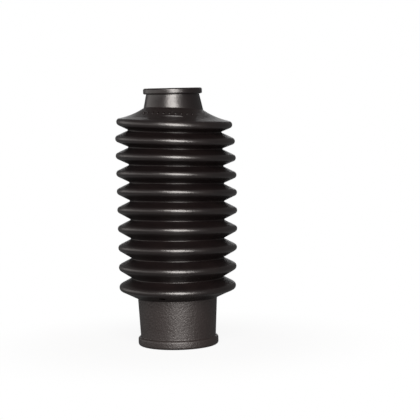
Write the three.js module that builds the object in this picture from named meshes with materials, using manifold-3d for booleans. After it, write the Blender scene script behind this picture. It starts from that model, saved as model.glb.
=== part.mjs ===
// Motorcycle fork gaiter: one moulded rubber bellows with a wide cuff below and a narrow neck above.
// The gaiter stands on its lower rim. The origin is the centre of that rim, and +Z runs up the fork.
// The front, where the breather hole shows, faces -Y.

import * as THREE from "three";
import { mergeVertices } from "three/addons/utils/BufferGeometryUtils.js";
import Module from "manifold-3d";

// Driving dimensions in millimetres, from the lower rim up

// Lower cuff, which grips the lower fork leg
const CUFF_BORE_RADIUS = 29;
const CUFF_WALL = 2.4;
const CUFF_HEIGHT = 38.5; // from the lower rim to the corner under the lowest fold
const CUFF_FLARE = 1.6; // gain in radius from the bead up to that corner
const CUFF_CORNER_FILLET = 0.8;
const CUFF_BEAD_HEIGHT = 7.3;
const CUFF_BEAD_RISE = 2.1; // how far the bead stands out from the cuff
const CUFF_BEAD_TOP_ROUND = 2;
const CUFF_BEAD_RIM_ROUND = 2.6;

// Bellows: crests and roots are arcs, and every flank is the straight line that touches both
const FOLDS = 10;
const LOWEST_CREST_RISE = 10.4; // from the cuff's corner to the middle of the lowest crest
const LOWEST_PITCH = 16.3; // crest to crest at the bottom, where the folds stand further apart
const HIGHEST_PITCH = 13.9;
const WIDEST_CREST_RADIUS = 50;
const WIDEST_CREST = 3.7; // counted down from the highest fold, which is 0
const LOWEST_CREST_RADIUS = 48.7;
const HIGHEST_CREST_RADIUS = 48.1;
const FOLD_DEPTH = 10.6; // from the crests' outline in to the root between two of them
const CREST_ROUND = 3.1;
const ROOT_FILLET = 0.6;
const FOLD_WALL = 1.8;

// Shoulder between the highest fold and the neck, a hollow curve
const SHOULDER_RISE = 11.7; // from the middle of the highest crest to the neck's foot
const SHOULDER_CURVE = 60;

// Neck, which grips the upper fork tube
const NECK_BORE_RADIUS = 20;
const NECK_WALL = 2.1;
const NECK_FLARE = 2.6; // gain in radius from the bead down to the shoulder
const NECK_HEIGHT = 12.5; // from the shoulder to the underside of the bead
const NECK_BEAD_HEIGHT = 5;
const NECK_BEAD_RISE = 2.3;
const NECK_BEAD_TOP_ROUND = 1.6;
const NECK_BEAD_FOOT_ROUND = 1.2;

// Breather hole, square through the lower flank of the lowest fold, halfway along it
const VENT_RADIUS = 2.3;
const VENT_TURN = 17; // degrees from the front towards -X
const VENT_CLEARANCE = 1; // how far the cutting pin reaches past each skin
const VENT_SIDES = 16;

// Fineness of the facets
const FACETS_AROUND = 32;
const CHORD_ERROR = 0.37; // how far a chord may leave its arc

// Sizes that follow

const cuffOuterRadius = CUFF_BORE_RADIUS + CUFF_WALL;
const cuffTopRadius = cuffOuterRadius + CUFF_FLARE;
const cuffBeadRadius = cuffOuterRadius + CUFF_BEAD_RISE;
const neckOuterRadius = NECK_BORE_RADIUS + NECK_WALL;
const neckFootRadius = neckOuterRadius + NECK_FLARE;
const neckBeadRadius = neckOuterRadius + NECK_BEAD_RISE;

const lowestCrestHeight = CUFF_HEIGHT + LOWEST_CREST_RISE;
const bellowsHeight = ((LOWEST_PITCH + HIGHEST_PITCH) / 2) * (FOLDS - 1);
const highestCrestHeight = lowestCrestHeight + bellowsHeight;
const neckFootHeight = highestCrestHeight + SHOULDER_RISE;
const neckBeadFoot = neckFootHeight + NECK_HEIGHT;
const topHeight = neckBeadFoot + NECK_BEAD_HEIGHT;

// Radius of the crests' outline at a place counted in folds from the highest, 0, to the lowest.
// It swells as a parabola about the widest place and keeps its ends on the two end folds.
function outlineRadius(place) {
  const drop = WIDEST_CREST_RADIUS - LOWEST_CREST_RADIUS;
  const reach = (place - WIDEST_CREST) / (FOLDS - 1 - WIDEST_CREST);
  return WIDEST_CREST_RADIUS - drop * reach ** 2;
}

// Height of the middle of a crest, or of a root at a half place. The pitch grows evenly downwards.
function heightAt(place) {
  const pitchGain = (LOWEST_PITCH - HIGHEST_PITCH) / (FOLDS - 1);
  const meanPitch = HIGHEST_PITCH + (pitchGain * place) / 2;
  return highestCrestHeight - meanPitch * place;
}

// One arc of the skin in the plane of radius and height. Its centre is at (radius, height).
// round is the arc's radius on the outer skin: above zero where the skin bulges outwards, below
// zero where it is hollow, and zero at a sharp corner. wall is the thickness at that place.
function arc(radius, height, round, wall) {
  return { centre: new THREE.Vector2(radius, height), round, wall };
}

function crestArc(fold) {
  const radius = fold === 0 ? HIGHEST_CREST_RADIUS : outlineRadius(fold);
  return arc(radius - CREST_ROUND, heightAt(fold), CREST_ROUND, FOLD_WALL);
}

function rootArc(fold) {
  const place = fold + 1 / 2;
  const radius = outlineRadius(place) - FOLD_DEPTH;
  return arc(radius + ROOT_FILLET, heightAt(place), -ROOT_FILLET, FOLD_WALL);
}

// The shoulder's arc passes through the neck's foot and touches the highest crest from above.
// Its centre is where a circle about the foot meets a circle about the crest's centre.
function shoulderArc(crest, foot) {
  const along = new THREE.Vector2().subVectors(crest.centre, foot);
  const span = along.length();
  const fromFoot = SHOULDER_CURVE;
  const fromCrest = SHOULDER_CURVE + crest.round;
  const step = (fromFoot ** 2 - fromCrest ** 2 + span ** 2) / (2 * span);
  const rise = Math.sqrt(fromFoot ** 2 - step ** 2);
  along.normalize();
  const centre = foot
    .clone()
    .addScaledVector(along, step)
    .addScaledVector(new THREE.Vector2(-along.y, along.x), rise);
  return arc(centre.x, centre.y, -SHOULDER_CURVE, FOLD_WALL);
}

const cuffCrease = arc(cuffOuterRadius, CUFF_BEAD_HEIGHT, 0, CUFF_WALL);
const cuffCorner = arc(
  cuffTopRadius + CUFF_CORNER_FILLET,
  CUFF_HEIGHT,
  -CUFF_CORNER_FILLET,
  CUFF_WALL,
);
const neckFoot = arc(neckFootRadius, neckFootHeight, 0, NECK_WALL);
const neckCrease = arc(neckOuterRadius, neckBeadFoot, 0, NECK_WALL);

// The skin between the two beads, from the cuff's crease up to the neck's crease
const bodyArcs = [cuffCrease, cuffCorner];
for (let fold = FOLDS - 1; fold > 0; fold -= 1) {
  bodyArcs.push(crestArc(fold), rootArc(fold - 1));
}
const highestCrest = crestArc(0);
bodyArcs.push(highestCrest, shoulderArc(highestCrest, neckFoot.centre), neckFoot, neckCrease);

const cuffBeadArcs = [
  arc(cuffBeadRadius - CUFF_BEAD_RIM_ROUND, CUFF_BEAD_RIM_ROUND, CUFF_BEAD_RIM_ROUND, 0),
  arc(
    cuffBeadRadius - CUFF_BEAD_TOP_ROUND,
    CUFF_BEAD_HEIGHT - CUFF_BEAD_TOP_ROUND,
    CUFF_BEAD_TOP_ROUND,
    0,
  ),
];
const neckBeadArcs = [
  arc(
    neckBeadRadius - NECK_BEAD_FOOT_ROUND,
    neckBeadFoot + NECK_BEAD_FOOT_ROUND,
    NECK_BEAD_FOOT_ROUND,
    0,
  ),
  arc(
    neckBeadRadius - NECK_BEAD_TOP_ROUND,
    topHeight - NECK_BEAD_TOP_ROUND,
    NECK_BEAD_TOP_ROUND,
    0,
  ),
];
const lowerRim = arc(CUFF_BORE_RADIUS, 0, 0, 0);
const upperRim = arc(NECK_BORE_RADIUS, topHeight, 0, 0);

// The same arcs seen from inside, where every arc's radius is smaller by the wall
function innerSkin(arcs) {
  return arcs.map(({ centre, round, wall }) => arc(centre.x, centre.y, round - wall, 0));
}

// Direction from the centres of two arcs to the straight line that touches both, to the right of
// the way from the first to the second
function tangentNormal(from, to) {
  const way = new THREE.Vector2().subVectors(to.centre, from.centre);
  const lean = (from.round - to.round) / way.length();
  way.normalize();
  const right = new THREE.Vector2(way.y, -way.x);
  return right
    .multiplyScalar(Math.sqrt(Math.max(0, 1 - lean ** 2)))
    .addScaledVector(way, lean);
}

// Chords that one arc needs to keep within the chord error. Above one chord the number is even,
// so that a crest keeps its outermost point.
function chordCount(round, turn) {
  if (round === 0) {
    return 0;
  }
  const flatness = Math.max(0, 1 - CHORD_ERROR / Math.abs(round));
  const widestStep = 2 * Math.acos(flatness);
  const stepsNeeded = Math.abs(turn) / widestStep;
  return stepsNeeded <= 1 ? 1 : 2 * Math.ceil(stepsNeeded / 2);
}

// Points of one skin along its arcs. Each arc runs from the straight line before it to the one
// after it in equal steps.
function skinPoints(arcs) {
  const points = [arcs[0].centre];
  for (let i = 1; i < arcs.length - 1; i += 1) {
    const { centre, round } = arcs[i];
    const start = tangentNormal(arcs[i - 1], arcs[i]).angle();
    const end = tangentNormal(arcs[i], arcs[i + 1]).angle();
    const turn = Math.atan2(Math.sin(end - start), Math.cos(end - start));
    const steps = chordCount(round, turn);
    for (let step = 0; step <= steps; step += 1) {
      const angle = steps === 0 ? start : start + (turn * step) / steps;
      const normal = new THREE.Vector2(Math.cos(angle), Math.sin(angle));
      points.push(centre.clone().addScaledVector(normal, round));
    }
  }
  points.push(arcs[arcs.length - 1].centre);
  return points;
}

const outerPoints = skinPoints([
  lowerRim,
  ...cuffBeadArcs,
  ...bodyArcs,
  ...neckBeadArcs,
  upperRim,
]);
const innerPoints = skinPoints([lowerRim, ...innerSkin(bodyArcs), upperRim]);
const section = [...outerPoints, ...innerPoints.slice(0, -1).reverse()];

// Boolean work

const wasm = await Module();
wasm.setup();

// A geometry as a solid: its seams are welded so that it is one closed body.
function solidOf(geometry) {
  const bare = geometry.clone();
  bare.deleteAttribute("normal");
  bare.deleteAttribute("uv");
  const welded = mergeVertices(bare);
  return new wasm.Manifold(
    new wasm.Mesh({
      numProp: 3,
      vertProperties: welded.attributes.position.array,
      triVerts: welded.index.array,
    }),
  );
}

function geometryOf(solid) {
  const mesh = solid.getMesh();
  const geometry = new THREE.BufferGeometry();
  geometry.setAttribute("position", new THREE.BufferAttribute(mesh.vertProperties, 3));
  geometry.setIndex(new THREE.BufferAttribute(mesh.triVerts, 1));
  geometry.computeVertexNormals();
  return geometry;
}

// The moulded body, turned upright: a lathe's first seam faces the front
function bodyGeometry() {
  return new THREE.LatheGeometry(section, FACETS_AROUND).rotateX(Math.PI / 2);
}

// The pin that pierces the lowest flank, square to it
function ventPin() {
  const crest = crestArc(FOLDS - 1);
  const normal = tangentNormal(cuffCorner, crest);
  const flankMiddle = new THREE.Vector2()
    .addVectors(cuffCorner.centre, crest.centre)
    .addScaledVector(normal, cuffCorner.round + crest.round)
    .multiplyScalar(1 / 2);
  const wall = (cuffCorner.wall + crest.wall) / 2;
  const wallMiddle = flankMiddle.clone().addScaledVector(normal, -wall / 2);
  const length = wall + 2 * VENT_CLEARANCE;
  const pin = new THREE.CylinderGeometry(VENT_RADIUS, VENT_RADIUS, length, VENT_SIDES);
  pin.rotateZ(normal.angle() - Math.PI / 2);
  pin.translate(wallMiddle.x, wallMiddle.y, 0);
  pin.rotateX(Math.PI / 2);
  pin.rotateZ(THREE.MathUtils.degToRad(-90 - VENT_TURN));
  return pin;
}

const gaiterSolid = solidOf(bodyGeometry()).subtract(solidOf(ventPin()));

const rubber = new THREE.MeshStandardMaterial({ color: 0x2b2828, roughness: 0.5, metalness: 0 });
const gaiter = new THREE.Mesh(geometryOf(gaiterSolid), rubber);
gaiter.name = "gaiter";

const part = new THREE.Group();
part.add(gaiter);

export default part;
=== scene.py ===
"""Fork gaiter in black rubber, standing on its lower rim in a white cove in soft studio light."""

import math

import bpy
import numpy as np
from mathutils import Matrix, Vector


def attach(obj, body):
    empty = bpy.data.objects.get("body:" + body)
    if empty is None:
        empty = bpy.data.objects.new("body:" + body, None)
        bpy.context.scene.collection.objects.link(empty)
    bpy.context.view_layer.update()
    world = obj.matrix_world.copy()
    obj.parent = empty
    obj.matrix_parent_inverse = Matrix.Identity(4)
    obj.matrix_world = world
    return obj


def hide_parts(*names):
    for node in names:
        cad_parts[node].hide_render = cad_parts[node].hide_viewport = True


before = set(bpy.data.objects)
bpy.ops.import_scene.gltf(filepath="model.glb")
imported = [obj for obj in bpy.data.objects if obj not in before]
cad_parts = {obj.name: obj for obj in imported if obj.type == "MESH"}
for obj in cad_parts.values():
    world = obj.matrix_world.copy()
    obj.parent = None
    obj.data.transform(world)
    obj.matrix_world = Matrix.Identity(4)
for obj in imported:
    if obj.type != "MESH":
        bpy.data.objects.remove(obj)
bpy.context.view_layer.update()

# Gaiter: one bellows of black rubber, pressed in a mould around a core and pulled off the core
# while it is soft. The wide cuff slips over the lower fork leg and the narrow neck grips the tube,
# and the folds between them open and close as the fork moves.

MM = 0.001  # sizes below are in millimetres, and the meshes are in metres

CUFF_BORE_RADIUS = 29.0
CUFF_WALL = 2.4
CUFF_HEIGHT = 38.5
CUFF_FLARE = 1.6
CUFF_CORNER_FILLET = 0.8
CUFF_BEAD_HEIGHT = 7.3
CUFF_BEAD_RISE = 2.1
CUFF_BEAD_TOP_ROUND = 2.0
CUFF_BEAD_RIM_ROUND = 2.1
CUFF_CREASE_FILLET = 0.45

FOLDS = 10
LOWEST_CREST_RISE = 10.4
LOWEST_PITCH = 16.3
HIGHEST_PITCH = 13.9
WIDEST_CREST_RADIUS = 50.0
WIDEST_CREST = 3.7
LOWEST_CREST_RADIUS = 48.7
HIGHEST_CREST_RADIUS = 48.1
FOLD_DEPTH = 10.6
CREST_ROUND = 3.1
ROOT_FILLET = 0.6
ROOT_RISES = (0.4, -0.5)  # of the highest and lowest root, above the middle between its crests
FOLD_WALL = 1.8

SHOULDER_RISE = 11.7
SHOULDER_CURVE = 60.0
NECK_BORE_RADIUS = 20.0
NECK_WALL = 2.1
NECK_FLARE = 2.6
NECK_HEIGHT = 12.5
NECK_FOOT_FILLET = 0.5
NECK_FOOT_SET = (1.0, 0.5)  # from the neck's foot to its fillet's centre, out and up, in fillets
NECK_CREASE_FILLET = 0.35
NECK_BEAD_HEIGHT = 5.0
NECK_BEAD_RISE = 2.3
NECK_BEAD_TOP_ROUND = 1.6
NECK_BEAD_FOOT_ROUND = 1.2
RIM_EDGE_ROUND = 0.4  # where each flat rim turns into its bore

cuff_radius = CUFF_BORE_RADIUS + CUFF_WALL
neck_radius = NECK_BORE_RADIUS + NECK_WALL
lowest_crest = CUFF_HEIGHT + LOWEST_CREST_RISE
mean_pitch = (LOWEST_PITCH + HIGHEST_PITCH) / 2
highest_crest = lowest_crest + mean_pitch * (FOLDS - 1)
neck_foot = highest_crest + SHOULDER_RISE
neck_bead_foot = neck_foot + NECK_HEIGHT
top = neck_bead_foot + NECK_BEAD_HEIGHT


def outline_radius(place):
    """Radius of the crests' outline at a place counted in folds down from the highest.

    A parabola: widest radius less the drop times the square of the way from the widest place.
    """
    reach = (place - WIDEST_CREST) / (FOLDS - 1 - WIDEST_CREST)
    return WIDEST_CREST_RADIUS - (WIDEST_CREST_RADIUS - LOWEST_CREST_RADIUS) * reach**2


def height_at(place):
    """Height of a crest, or of the middle between two crests at a half place.

    The pitch grows evenly downwards, so the drop from the highest crest is its pitch plus half the
    gain times the place, all times the place.
    """
    gain = (LOWEST_PITCH - HIGHEST_PITCH) / (FOLDS - 1)
    return highest_crest - (HIGHEST_PITCH + gain * place / 2) * place


def shoulder_centre(crest, foot):
    """Centre of the hollow shoulder arc that passes through the neck's foot and touches the crest.

    It is where a circle about the foot, of the shoulder's radius, meets a circle about the crest's
    centre, of that radius plus the crest's round.
    """
    way = np.subtract(crest, foot)
    span = np.linalg.norm(way)
    near, far = SHOULDER_CURVE, SHOULDER_CURVE + CREST_ROUND
    step = (near**2 - far**2 + span**2) / (2 * span)
    rise = math.sqrt(near**2 - step**2)
    way /= span
    return foot + way * step + np.array([-way[1], way[0]]) * rise


# An arc is its centre's radius and height, its round (above zero where the rubber bulges, below
# zero where it is hollow) and the wall there. The outer skin is listed from the base upwards.
crest_places = np.arange(FOLDS)
root_places = crest_places[:-1] + 0.5
crest_radii = outline_radius(crest_places)
crest_radii[0] = HIGHEST_CREST_RADIUS
bellows = np.zeros((2 * FOLDS - 1, 4))
bellows[0::2, 0] = crest_radii - CREST_ROUND
bellows[0::2, 1] = height_at(crest_places)
bellows[0::2, 2] = CREST_ROUND
bellows[1::2, 0] = outline_radius(root_places) - FOLD_DEPTH + ROOT_FILLET
bellows[1::2, 1] = height_at(root_places) + np.linspace(*ROOT_RISES, FOLDS - 1)
bellows[1::2, 2] = -ROOT_FILLET
bellows[:, 3] = FOLD_WALL
neck_foot_point = np.array([neck_radius + NECK_FLARE, neck_foot])
shoulder = shoulder_centre(bellows[0, :2], neck_foot_point)
foot_fillet = neck_foot_point + NECK_FOOT_FILLET * np.array(NECK_FOOT_SET)
bead_radius = cuff_radius + CUFF_BEAD_RISE
neck_bead_radius = neck_radius + NECK_BEAD_RISE
crease, neck_crease = CUFF_CREASE_FILLET, NECK_CREASE_FILLET
body_arcs = [
    (cuff_radius + crease, CUFF_BEAD_HEIGHT + crease, -crease, CUFF_WALL),
    (cuff_radius + CUFF_FLARE + CUFF_CORNER_FILLET, CUFF_HEIGHT, -CUFF_CORNER_FILLET, CUFF_WALL),
    *bellows[::-1],
    (*shoulder, -SHOULDER_CURVE, FOLD_WALL),
    (*foot_fillet, -NECK_FOOT_FILLET, NECK_WALL),
    (neck_radius + neck_crease, neck_bead_foot - neck_crease, -neck_crease, NECK_WALL),
]


def bead_arcs(radius, foot, head, foot_round, head_round):
    """The lower and upper arc of a bead between two heights, each its round inside its edges."""
    return [
        (radius - foot_round, foot + foot_round, foot_round, 0),
        (radius - head_round, head - head_round, head_round, 0),
    ]


outer_arcs = np.array([
    *bead_arcs(bead_radius, 0, CUFF_BEAD_HEIGHT, CUFF_BEAD_RIM_ROUND, CUFF_BEAD_TOP_ROUND),
    *body_arcs,
    *bead_arcs(neck_bead_radius, neck_bead_foot, top, NECK_BEAD_FOOT_ROUND, NECK_BEAD_TOP_ROUND),
])
inner_arcs = np.array(body_arcs)[::-1]
inner_arcs[:, 2] = inner_arcs[:, 3] - inner_arcs[:, 2]  # the same centres, seen from inside
upper_edge = [NECK_BORE_RADIUS + RIM_EDGE_ROUND, top - RIM_EDGE_ROUND, RIM_EDGE_ROUND, 0]
lower_edge = [CUFF_BORE_RADIUS + RIM_EDGE_ROUND, RIM_EDGE_ROUND, RIM_EDGE_ROUND, 0]
section_arcs = np.vstack([outer_arcs, upper_edge, inner_arcs, lower_edge])


def line_normals(arcs):
    """Normal of the line from each arc of a closed chain to the next, which touches both.

    With centres a and b and rounds s and t it is lean times the way from a to b plus
    sqrt(1 - lean**2) times the right-hand side of that way, where lean is (s - t) / |b - a|.
    """
    way = np.roll(arcs[:, :2], -1, axis=0) - arcs[:, :2]
    length = np.linalg.norm(way, axis=1)
    lean = np.clip((arcs[:, 2] - np.roll(arcs[:, 2], -1)) / length, -1, 1)[:, None]
    way /= length[:, None]
    right = np.stack([way[:, 1], -way[:, 0]], axis=1)
    return lean * way + np.sqrt(1 - lean**2) * right


def traced(arcs, chosen, arc_points, line_points):
    """Points (radius, height) along chosen arcs of a closed chain, each with the line after it.

    Each arc turns evenly from the normal of the line before it to that of the line after it.
    """
    normal = line_normals(arcs)
    after = np.arctan2(normal[:, 1], normal[:, 0])
    before = np.roll(after, 1)
    turn = (after - before + np.pi) % (2 * np.pi) - np.pi
    angle = before[:, None] + turn[:, None] * np.linspace(0, 1, arc_points)
    direction = np.stack([np.cos(angle), np.sin(angle)], axis=-1)
    on_arc = arcs[:, None, :2] + arcs[:, 2, None, None] * direction
    start, end = on_arc[:, -1], np.roll(on_arc[:, 0], -1, axis=0)
    share = np.linspace(0, 1, line_points + 2)[1:-1, None]
    on_line = start[:, None] + (end - start)[:, None] * share
    return np.concatenate([on_arc, on_line], axis=1)[chosen].reshape(-1, 2)


OUTER_ARC_POINTS, OUTER_LINE_POINTS = 8, 3
INNER_ARC_POINTS, INNER_LINE_POINTS = 4, 1
LEAST_STEP = 0.01  # points closer than this come from lines of no length, and are dropped
is_outer = np.arange(len(section_arcs)) < len(outer_arcs)
outer_skin = traced(section_arcs, is_outer, OUTER_ARC_POINTS, OUTER_LINE_POINTS)
inner_skin = traced(section_arcs, ~is_outer, INNER_ARC_POINTS, INNER_LINE_POINTS)
section = np.vstack([outer_skin, inner_skin])
section = section[np.linalg.norm(section - np.roll(section, 1, axis=0), axis=1) > LEAST_STEP]


def ring_grid(profile, around):
    """Points of a profile (radius, height) turned about Z: (radius cos a, radius sin a, height)."""
    angle = np.linspace(0, 2 * np.pi, around, endpoint=False)
    radius, height = profile[:, :1], profile[:, 1:]
    parts = np.broadcast_arrays(radius * np.cos(angle), radius * np.sin(angle), height)
    return np.stack(parts, axis=-1)


def ring_faces(rows, columns, closed):
    """Quads between the rows of a ring grid, and from the last row to the first if it is closed."""
    row, column = np.indices((rows if closed else rows - 1, columns))
    next_row, next_column = (row + 1) % rows, (column + 1) % columns
    corners = [(row, column), (row, next_column), (next_row, next_column), (next_row, column)]
    return np.stack([r * columns + c for r, c in corners], axis=-1).reshape(-1, 4)


def object_from(name, points, faces):
    """A smooth-shaded object from an array of points in millimetres and a list of faces."""
    mesh = bpy.data.meshes.new(name)
    mesh.from_pydata(points.reshape(-1, 3) * MM, [], faces)
    mesh.shade_smooth()
    made = bpy.data.objects.new(name, mesh)
    bpy.context.scene.collection.objects.link(made)
    return made


COLUMNS = 200
grid_faces = ring_faces(len(section), COLUMNS, closed=True).tolist()
gaiter = object_from("rubber_gaiter", ring_grid(section, COLUMNS), grid_faces)

# Breather hole: pierced from the front through the lower flank of the lowest fold, halfway along it
VENT_RADIUS = 2.6
VENT_TURN = 17.0
VENT_TILT = 30.0  # degrees that it runs nearer to level than square through the flank
VENT_SIDES = 32
VENT_REACH = 3.0
SHARP_ABOVE = math.radians(55)

corner, crest = np.array(body_arcs[1]), np.array(body_arcs[2])
flank_normal = line_normals(np.array([corner, crest]))[0]
flank_middle = (corner[:2] + crest[:2] + (corner[2] + crest[2]) * flank_normal) / 2
vent_azimuth = math.radians(-90 - VENT_TURN)
outwards = np.array([math.cos(vent_azimuth), math.sin(vent_azimuth)])
vent_centre = np.array([*(outwards * flank_middle[0]), flank_middle[1]])
vent_elevation = math.atan2(flank_normal[1], flank_normal[0]) + math.radians(VENT_TILT)
vent_axis = np.array([*(outwards * math.cos(vent_elevation)), math.sin(vent_elevation)])


def pin(name, centre, axis, radius, reach, sides):
    """A closed pin of two rings about an axis, at the reach on either side of the centre.

    A ring's points are radius times (cos a to the side + sin a up), across the axis.
    """
    side = np.cross([0, 0, 1], axis)
    side /= np.linalg.norm(side)
    up = np.cross(axis, side)
    angle = np.linspace(0, 2 * np.pi, sides, endpoint=False)[:, None]
    ring = radius * (np.cos(angle) * side + np.sin(angle) * up)
    points = np.vstack([centre - reach * axis + ring, centre + reach * axis + ring])
    walls = ring_faces(2, sides, closed=False).tolist()
    caps = [list(range(sides))[::-1], list(range(sides, 2 * sides))]
    return object_from(name, points, walls + caps)


vent_pin = pin("vent_pin", vent_centre, vent_axis, VENT_RADIUS, VENT_REACH, VENT_SIDES)
punch = gaiter.modifiers.new("punch", "BOOLEAN")
punch.operation = "DIFFERENCE"
punch.solver = "EXACT"
punch.object = vent_pin
graph = bpy.context.evaluated_depsgraph_get()
gaiter.data = bpy.data.meshes.new_from_object(gaiter.evaluated_get(graph))
gaiter.modifiers.remove(punch)
bpy.data.objects.remove(vent_pin)
gaiter.data.set_sharp_from_angle(angle=SHARP_ABOVE)

# Set of the soft rubber: it has stood and lain in stock, so it bows to the right, its rings lean
# to the left more and more upwards, and the middle folds nod and lift. Both rims stay true.
TOP_LEAN = -3.0  # degrees, right side up, at the neck's foot
NECK_NOD, END_NOD, MIDDLE_NOD, CUFF_NOD = 3.7, -1.0, 3.1, 1.9  # degrees, front side up
BOW = 1.65  # to the right
LIFT = 0.6

# Each ring's values run from the neck's foot down over the folds to the cuff's top edge. The lean
# falls evenly, the bow is half a sine wave, and so are the folds' nod and lift.
descent = np.linspace(0, 1, FOLDS + 2)
swell = np.sin(np.pi * crest_places / (FOLDS - 1))
ring_leans = TOP_LEAN * (1 - descent)
ring_nods = np.array([NECK_NOD, *(END_NOD + (MIDDLE_NOD - END_NOD) * swell), CUFF_NOD])
ring_shifts = BOW * np.sin(np.pi * (1 - descent) * (FOLDS + 1) / (FOLDS + 2))
ring_lifts = np.array([0, *(LIFT * swell), 0])
stations = np.array([0, CUFF_HEIGHT, *height_at(crest_places[::-1]), neck_foot, neck_bead_foot])


def eased(height, values):
    """A value at each height: level at the stations, eased by half a cosine wave between them."""
    levels = np.array([0, *values[::-1], 0])
    below = np.clip(np.searchsorted(stations, height) - 1, 0, len(stations) - 2)
    share = (height - stations[below]) / (stations[below + 1] - stations[below])
    wave = (1 - np.cos(np.pi * np.clip(share, 0, 1))) / 2
    return levels[below] + (levels[below + 1] - levels[below]) * wave


def settled(points):
    """Points in millimetres moved by the set.

    Each goes to x + shift, y and z + lift + x tan(lean) - y tan(nod), by the values at its height.
    """
    x, y, z = points.T
    lean, nod = np.tan(np.radians([eased(z, ring_leans), eased(z, ring_nods)]))
    height = z + eased(z, ring_lifts) + x * lean - y * nod
    return np.stack([x + eased(z, ring_shifts), y, height], axis=1)


# Each point keeps how strong the mould's grain is, which is roughest on the cuff, and how much
# dressing it has, which was wiped over the crests, the cuff and the neck, and thinly over the
# shoulder, but didn't reach down the flanks into the roots.
CUFF_GRAIN, NECK_GRAIN, SHOULDER_GRAIN, FOLD_GRAIN = 1.0, 0.25, 0.5, 0.3
SHOULDER_DRESSING = 0.7
DRESSED_DEPTHS = (0.15, 0.4)  # shares of a fold's depth, fully dressed and bare

flat = np.empty(3 * len(gaiter.data.vertices), dtype=np.float32)
gaiter.data.vertices.foreach_get("co", flat)
points = flat.reshape(-1, 3).astype(float) / MM
radii, heights = np.hypot(points[:, 0], points[:, 1]), points[:, 2]
on_cuff, on_neck = heights < CUFF_HEIGHT + CUFF_CORNER_FILLET / 2, heights > neck_foot
on_shoulder = (heights > highest_crest + CREST_ROUND) & ~on_neck
in_folds = (heights < highest_crest) & ~on_cuff
outline = outline_radius((highest_crest - heights) / mean_pitch)
depth_share = np.clip((outline - radii) / FOLD_DEPTH, 0, 1)
flank_dressing = np.interp(depth_share, DRESSED_DEPTHS, (1, 0))
places = [on_cuff, on_neck, on_shoulder]
attributes = {
    "grain": np.select(places, (CUFF_GRAIN, NECK_GRAIN, SHOULDER_GRAIN), FOLD_GRAIN),
    "dressing": np.select([in_folds, on_shoulder], (flank_dressing, SHOULDER_DRESSING), 1.0),
}
for name, values in attributes.items():
    attribute = gaiter.data.attributes.new(name, "FLOAT", "POINT")
    attribute.data.foreach_set("value", values.astype(np.float32))
gaiter.data.vertices.foreach_set("co", (settled(points) * MM).astype(np.float32).ravel())
gaiter.data.update()


def linear(hex_colour):
    """Linear colour with alpha from an sRGB hex value, by the curve of the sRGB standard."""
    srgb = np.array([int(hex_colour[i : i + 2], 16) for i in (1, 3, 5)]) / 255
    low, high = srgb / 12.92, ((srgb + 0.055) / 1.055) ** 2.4
    return (*np.where(srgb <= 0.04045, low, high), 1.0)


def add(tree, kind, settings, *sources, **links):
    """Adds a node, with its properties and sockets set by name.

    Sources are linked to its inputs in their order, and links to the inputs of their names.
    """
    node = tree.nodes.new(kind)
    for name, value in settings.items():
        if name in node.inputs:
            node.inputs[name].default_value = value
        else:
            setattr(node, name, value)
    for socket, source in zip(node.inputs, sources):
        tree.links.new(source, socket)
    for name, source in links.items():
        tree.links.new(source, node.inputs[name.replace("_", " ")])
    return node


def empty_material(name):
    """A material with an empty node tree."""
    material = bpy.data.materials.new(name)
    material.use_nodes = True
    material.node_tree.nodes.clear()
    return material


# Moulded rubber, dressed with silicone: coal black all through, with a satin skin that takes the
# grain of the mould. It gives soft bright streaks on the crests and stays near black in the roots.
RUBBER_BLACK = "#140e0f"
RUBBER_BLOOM = "#1b1414"  # faint bloom of wax on the surface
RUBBER_GRAINED = "#261e1d"  # at full grain, which scatters more light
BLOOM_STOPS = ((0.4, RUBBER_BLACK), (0.7, RUBBER_BLOOM))  # values of the noise, and colours
BLOOM_WIDTH = 14.0
GRAIN_WIDTH = 1.6  # drawn coarser than the real grit of about 0.2, so that it shows
GRAIN_DEPTH = 0.33
RIPPLE_WIDTH = 7.0  # slow unevenness of the moulded wall
RIPPLE_DEPTH = 0.15
BLOOM_OCTAVES, RIPPLE_OCTAVES, GRAIN_OCTAVES = 3.0, 1.0, 2.0
SMOOTH_SATIN, GRAINED_SATIN = 0.28, 0.5  # roughness without grain and at full grain
RUBBER_IOR = 1.6  # carbon black raises plain rubber's 1.52
DRESSED_IOR = 1.5

rubber = empty_material("moulded_rubber")
tree = rubber.node_tree
place = add(tree, "ShaderNodeTexCoord", {}).outputs["Object"]
graininess = add(tree, "ShaderNodeAttribute", {"attribute_name": "grain"}).outputs["Fac"]
dressed = add(tree, "ShaderNodeAttribute", {"attribute_name": "dressing"}).outputs["Fac"]
widths = (BLOOM_WIDTH, RIPPLE_WIDTH, GRAIN_WIDTH)
octaves = (BLOOM_OCTAVES, RIPPLE_OCTAVES, GRAIN_OCTAVES)
bloom, ripple, grit = (
    add(tree, "ShaderNodeTexNoise", {"Scale": 1 / (width * MM), "Detail": detail}, place)
    for width, detail in zip(widths, octaves)
)
colour = add(tree, "ShaderNodeValToRGB", {}, bloom.outputs["Fac"])
for stop, (position, hex_colour) in zip(colour.color_ramp.elements, BLOOM_STOPS):
    stop.position, stop.color = position, linear(hex_colour)
roughest = add(tree, "ShaderNodeMath", {"operation": "MULTIPLY"}, graininess, graininess)
tone = add(
    tree,
    "ShaderNodeMixRGB",
    {"Color2": linear(RUBBER_GRAINED)},
    roughest.outputs["Value"],
    colour.outputs["Color"],
)
satins = {"To Min": SMOOTH_SATIN, "To Max": GRAINED_SATIN}
satin = add(tree, "ShaderNodeMapRange", satins, graininess)
waves = add(tree, "ShaderNodeBump", {"Distance": RIPPLE_DEPTH * MM}, Height=ripple.outputs["Fac"])
grained = add(
    tree,
    "ShaderNodeBump",
    {"Distance": GRAIN_DEPTH * MM},
    graininess,
    Height=grit.outputs["Fac"],
    Normal=waves.outputs["Normal"],
)
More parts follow.
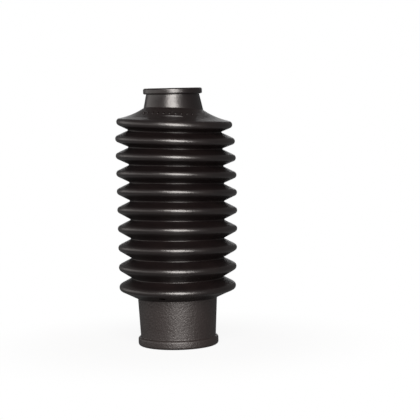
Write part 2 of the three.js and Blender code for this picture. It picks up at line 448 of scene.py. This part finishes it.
skin = add(
    tree,
    "ShaderNodeBsdfPrincipled",
    {"IOR": RUBBER_IOR, "Coat IOR": DRESSED_IOR},
    Base_Color=tone.outputs["Color"],
    Roughness=satin.outputs["Result"],
    Normal=grained.outputs["Normal"],
    Coat_Weight=dressed,
    Coat_Roughness=satin.outputs["Result"],
    Coat_Normal=grained.outputs["Normal"],
)
add(tree, "ShaderNodeOutputMaterial", {}, skin.outputs["BSDF"])

gaiter.data.materials.clear()
gaiter.data.materials.append(rubber)
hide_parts("gaiter")
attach(gaiter, "root")

# Shoulder marks: a row of small raised ticks and a longer raised line under it, moulded in one
# with the shoulder, so they are the same rubber and half sunk in it.
TICKS = 10
TICK_SPREAD = (-47.0, 29.0)  # degrees to the right of the front
TICK_RADIUS = 32.5
TICK_SIZE = (2.6, 1.5, 1.1)  # down the slope, around, and through the skin
LINE_RADIUS = 36.7
LINE_HALF_ANGLE = 15.6
LINE_SIZE = (1.2, 2 * LINE_RADIUS * math.radians(LINE_HALF_ANGLE), 1.3)
MARK_ROWS, MARK_COLUMNS = 7, 24
MARK_END = np.pi / 2 - 0.2  # radians from the middle to the last ring, which a flat cap closes
SQUARENESS = 0.7  # exponent of the superellipsoid: 1 is an ellipsoid, 0 a box


def rounded_bar(size):
    """Points of a superellipsoid bar, as rows of rings.

    Each coordinate is half the size times that of the unit sphere, which is raised to the
    squareness and keeps its sign.
    """
    rise = np.linspace(-MARK_END, MARK_END, MARK_ROWS)[:, None]
    turn = np.linspace(0, 2 * np.pi, MARK_COLUMNS, endpoint=False)
    cosine = np.cos(rise)
    unit = np.broadcast_arrays(cosine * np.cos(turn), cosine * np.sin(turn), np.sin(rise))
    squared = [np.sign(u) * np.abs(u) ** SQUARENESS for u in unit]
    return np.stack(squared, axis=-1) * np.array(size) / 2


def laid_on_shoulder(bar, radius, azimuth):
    """A bar bent onto the shoulder, whose skin is an arc about the shoulder's centre.

    Its first coordinate runs down the slope, its second around the axis and its third out along
    the skin's normal. With the angle a of a point from straight below that centre, its radius is
    the centre's less (curve - out) sin a, and its height the centre's less (curve - out) cos a.
    """
    down, around, out = np.moveaxis(bar, -1, 0)
    angle = np.arcsin((shoulder[0] - radius) / SHOULDER_CURVE) - down / SHOULDER_CURVE
    r = shoulder[0] - (SHOULDER_CURVE - out) * np.sin(angle)
    z = shoulder[1] - (SHOULDER_CURVE - out) * np.cos(angle)
    turn = np.radians(azimuth - 90) + around / radius
    return np.stack([r * np.cos(turn), r * np.sin(turn), z], axis=-1)


tick_azimuths = np.linspace(*TICK_SPREAD, TICKS)
bars = [laid_on_shoulder(rounded_bar(TICK_SIZE), TICK_RADIUS, azimuth) for azimuth in tick_azimuths]
bars.append(laid_on_shoulder(rounded_bar(LINE_SIZE), LINE_RADIUS, 0.0))
bar_points = MARK_ROWS * MARK_COLUMNS
bar_walls = ring_faces(MARK_ROWS, MARK_COLUMNS, closed=False).tolist()
bar_caps = [list(range(MARK_COLUMNS))[::-1], list(range(bar_points - MARK_COLUMNS, bar_points))]
bar_faces = bar_walls + bar_caps
mark_faces = [[i + k * bar_points for i in face] for k in range(len(bars)) for face in bar_faces]
marks = object_from("shoulder_marks", settled(np.array(bars).reshape(-1, 3)), mark_faces)
marks.data.materials.append(rubber)
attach(marks, "root")

# Floor and backdrop: a round cove of dark grey paper, whose floor bends up into a wall all around,
# so that little light comes back into the folds. The camera sees it as plain white, and glossy
# things see it so before and behind the gaiter. Near the gaiter it shows the soft shadow.
COVE_FLOOR = 2600.0
COVE_BEND = 600.0
COVE_TOP = 2200.0
COVE_BEND_ROWS, COVE_COLUMNS = 16, 96
PAPER_GREY = "#4a4a4a"
PAPER_WHITE = "#f4f4f4"
SHADOW_REACH = (0.05, 0.2)  # the lamps' share of the white fades out between these, in metres
LAMP_SHARE = 0.09
GLOSSY_SHARE = 0.085  # of white, that glossy things see in the rest of the cove
BACKDROP_WEDGE = 5.5  # how many times as far forward and back as aside the white reaches
BACKDROP_EDGE = 0.2  # metres over which it fades in

bend = np.linspace(0, np.pi / 2, COVE_BEND_ROWS)
bend_radius, bend_height = COVE_FLOOR + COVE_BEND * np.sin(bend), COVE_BEND * (1 - np.cos(bend))
cove_bend = np.stack([bend_radius, bend_height], axis=1)
cove_line = np.vstack([cove_bend, [COVE_FLOOR + COVE_BEND, COVE_TOP]])
cove_walls = ring_faces(len(cove_line), COVE_COLUMNS, closed=False)[:, ::-1].tolist()
cove_floor = [list(range(COVE_COLUMNS))]
cove = object_from("paper_cove", ring_grid(cove_line, COVE_COLUMNS), cove_walls + cove_floor)

paper = empty_material("cove_paper")
tree = paper.node_tree
place = add(tree, "ShaderNodeTexCoord", {}).outputs["Object"]
wedge = add(tree, "ShaderNodeMapping", {"Scale": (BACKDROP_WEDGE, 1, 1)}, place)
axes = add(tree, "ShaderNodeSeparateXYZ", {}, wedge.outputs["Vector"]).outputs
size_of, difference = {"operation": "ABSOLUTE"}, {"operation": "SUBTRACT"}
product, greater = {"operation": "MULTIPLY"}, {"operation": "MAXIMUM"}
aside = add(tree, "ShaderNodeMath", size_of, axes["X"]).outputs["Value"]
along = add(tree, "ShaderNodeMath", size_of, axes["Y"]).outputs["Value"]
within = add(tree, "ShaderNodeMath", difference, along, aside).outputs["Value"]
eased_in = {"interpolation_type": "SMOOTHSTEP", "From Max": BACKDROP_EDGE, "To Min": GLOSSY_SHARE}
share = add(tree, "ShaderNodeMapRange", eased_in, within).outputs["Result"]
rays = add(tree, "ShaderNodeLightPath", {}).outputs
glossy = add(tree, "ShaderNodeMath", product, rays["Is Glossy Ray"], share).outputs["Value"]
direct = add(tree, "ShaderNodeMath", greater, rays["Is Camera Ray"], rays["Is Transmission Ray"])
seen = add(tree, "ShaderNodeMath", greater, direct.outputs["Value"], glossy).outputs["Value"]
away = add(tree, "ShaderNodeVectorMath", {"operation": "LENGTH"}, place).outputs["Value"]
near, far = SHADOW_REACH
fading = {
    "interpolation_type": "SMOOTHSTEP",
    "From Min": near,
    "From Max": far,
    "To Min": 1 - LAMP_SHARE,
}
fade = add(tree, "ShaderNodeMapRange", fading, away).outputs["Result"]
dim = add(tree, "ShaderNodeBsdfDiffuse", {"Color": linear(PAPER_GREY)}).outputs["BSDF"]
lit = add(tree, "ShaderNodeBsdfDiffuse", {"Color": linear(PAPER_WHITE)}).outputs["BSDF"]
plain = add(tree, "ShaderNodeEmission", {"Strength": 1.0}).outputs["Emission"]
shown = add(tree, "ShaderNodeMixShader", {}, fade, lit, plain).outputs["Shader"]
mixed = add(tree, "ShaderNodeMixShader", {}, seen, dim, shown).outputs["Shader"]
add(tree, "ShaderNodeOutputMaterial", {}, mixed)
cove.data.materials.append(paper)

# Light: one tall softbox in front and above, leaning a little in its plane, a long dim panel along
# the left, and a dim grey room.
ROOM_GREY = "#555251"
LAMP_WARMTH = (1.0, 0.945, 0.905)  # a little warmer than neutral white


def area_lamp(name, azimuth, elevation, distance, size, radiance, turn=0.0):
    """A rectangular lamp that faces the middle of the gaiter, from a direction in degrees."""
    data = bpy.data.lights.new(name, "AREA")
    data.shape = "RECTANGLE"
    data.size, data.size_y = size
    data.color = LAMP_WARMTH
    data.energy = radiance * math.pi * size[0] * size[1]
    lamp = bpy.data.objects.new(name, data)
    bpy.context.scene.collection.objects.link(lamp)
    across, up = math.radians(azimuth), math.radians(elevation)
    away = Vector((math.sin(across) * math.cos(up), -math.cos(across) * math.cos(up), math.sin(up)))
    middle = Vector((0, 0, top * MM / 2))
    facing = away.to_track_quat("Z", "Y").to_matrix().to_4x4()
    leaning = Matrix.Rotation(math.radians(turn), 4, "Z")
    lamp.matrix_world = Matrix.Translation(middle + away * distance) @ facing @ leaning


area_lamp(
    "softbox", azimuth=3.5, elevation=19, distance=1.4, size=(0.82, 1.3), radiance=8.6, turn=28
)
area_lamp("left_panel", azimuth=-85, elevation=4, distance=1.3, size=(2.6, 1.1), radiance=0.68)

world = bpy.data.worlds.new("grey_room")
world.use_nodes = True
world.node_tree.nodes["Background"].inputs["Color"].default_value = linear(ROOM_GREY)
bpy.context.scene.world = world

# Camera: level with the neck's rim, a little to the right, pitched down and rolled by a hair
FOCAL_PIXELS = 1500
FRAME_PIXELS = 420
SENSOR_WIDTH = 36.0
CAMERA_PLACE = (0.02882, -1.2461, 0.2116)
CAMERA_PITCH = 4.574
CAMERA_ROLL = 1.3

camera_data = bpy.data.cameras.new("camera")
camera_data.sensor_width = SENSOR_WIDTH
camera_data.lens = SENSOR_WIDTH * FOCAL_PIXELS / FRAME_PIXELS
camera = bpy.data.objects.new("camera", camera_data)
bpy.context.scene.collection.objects.link(camera)
tilt = Matrix.Rotation(math.radians(90 - CAMERA_PITCH), 4, "X")
roll = Matrix.Rotation(math.radians(-CAMERA_ROLL), 4, "Z")
camera.matrix_world = Matrix.Translation(CAMERA_PLACE) @ tilt @ roll
bpy.context.scene.camera = camera
bpy.context.scene.view_settings.view_transform = "Standard"
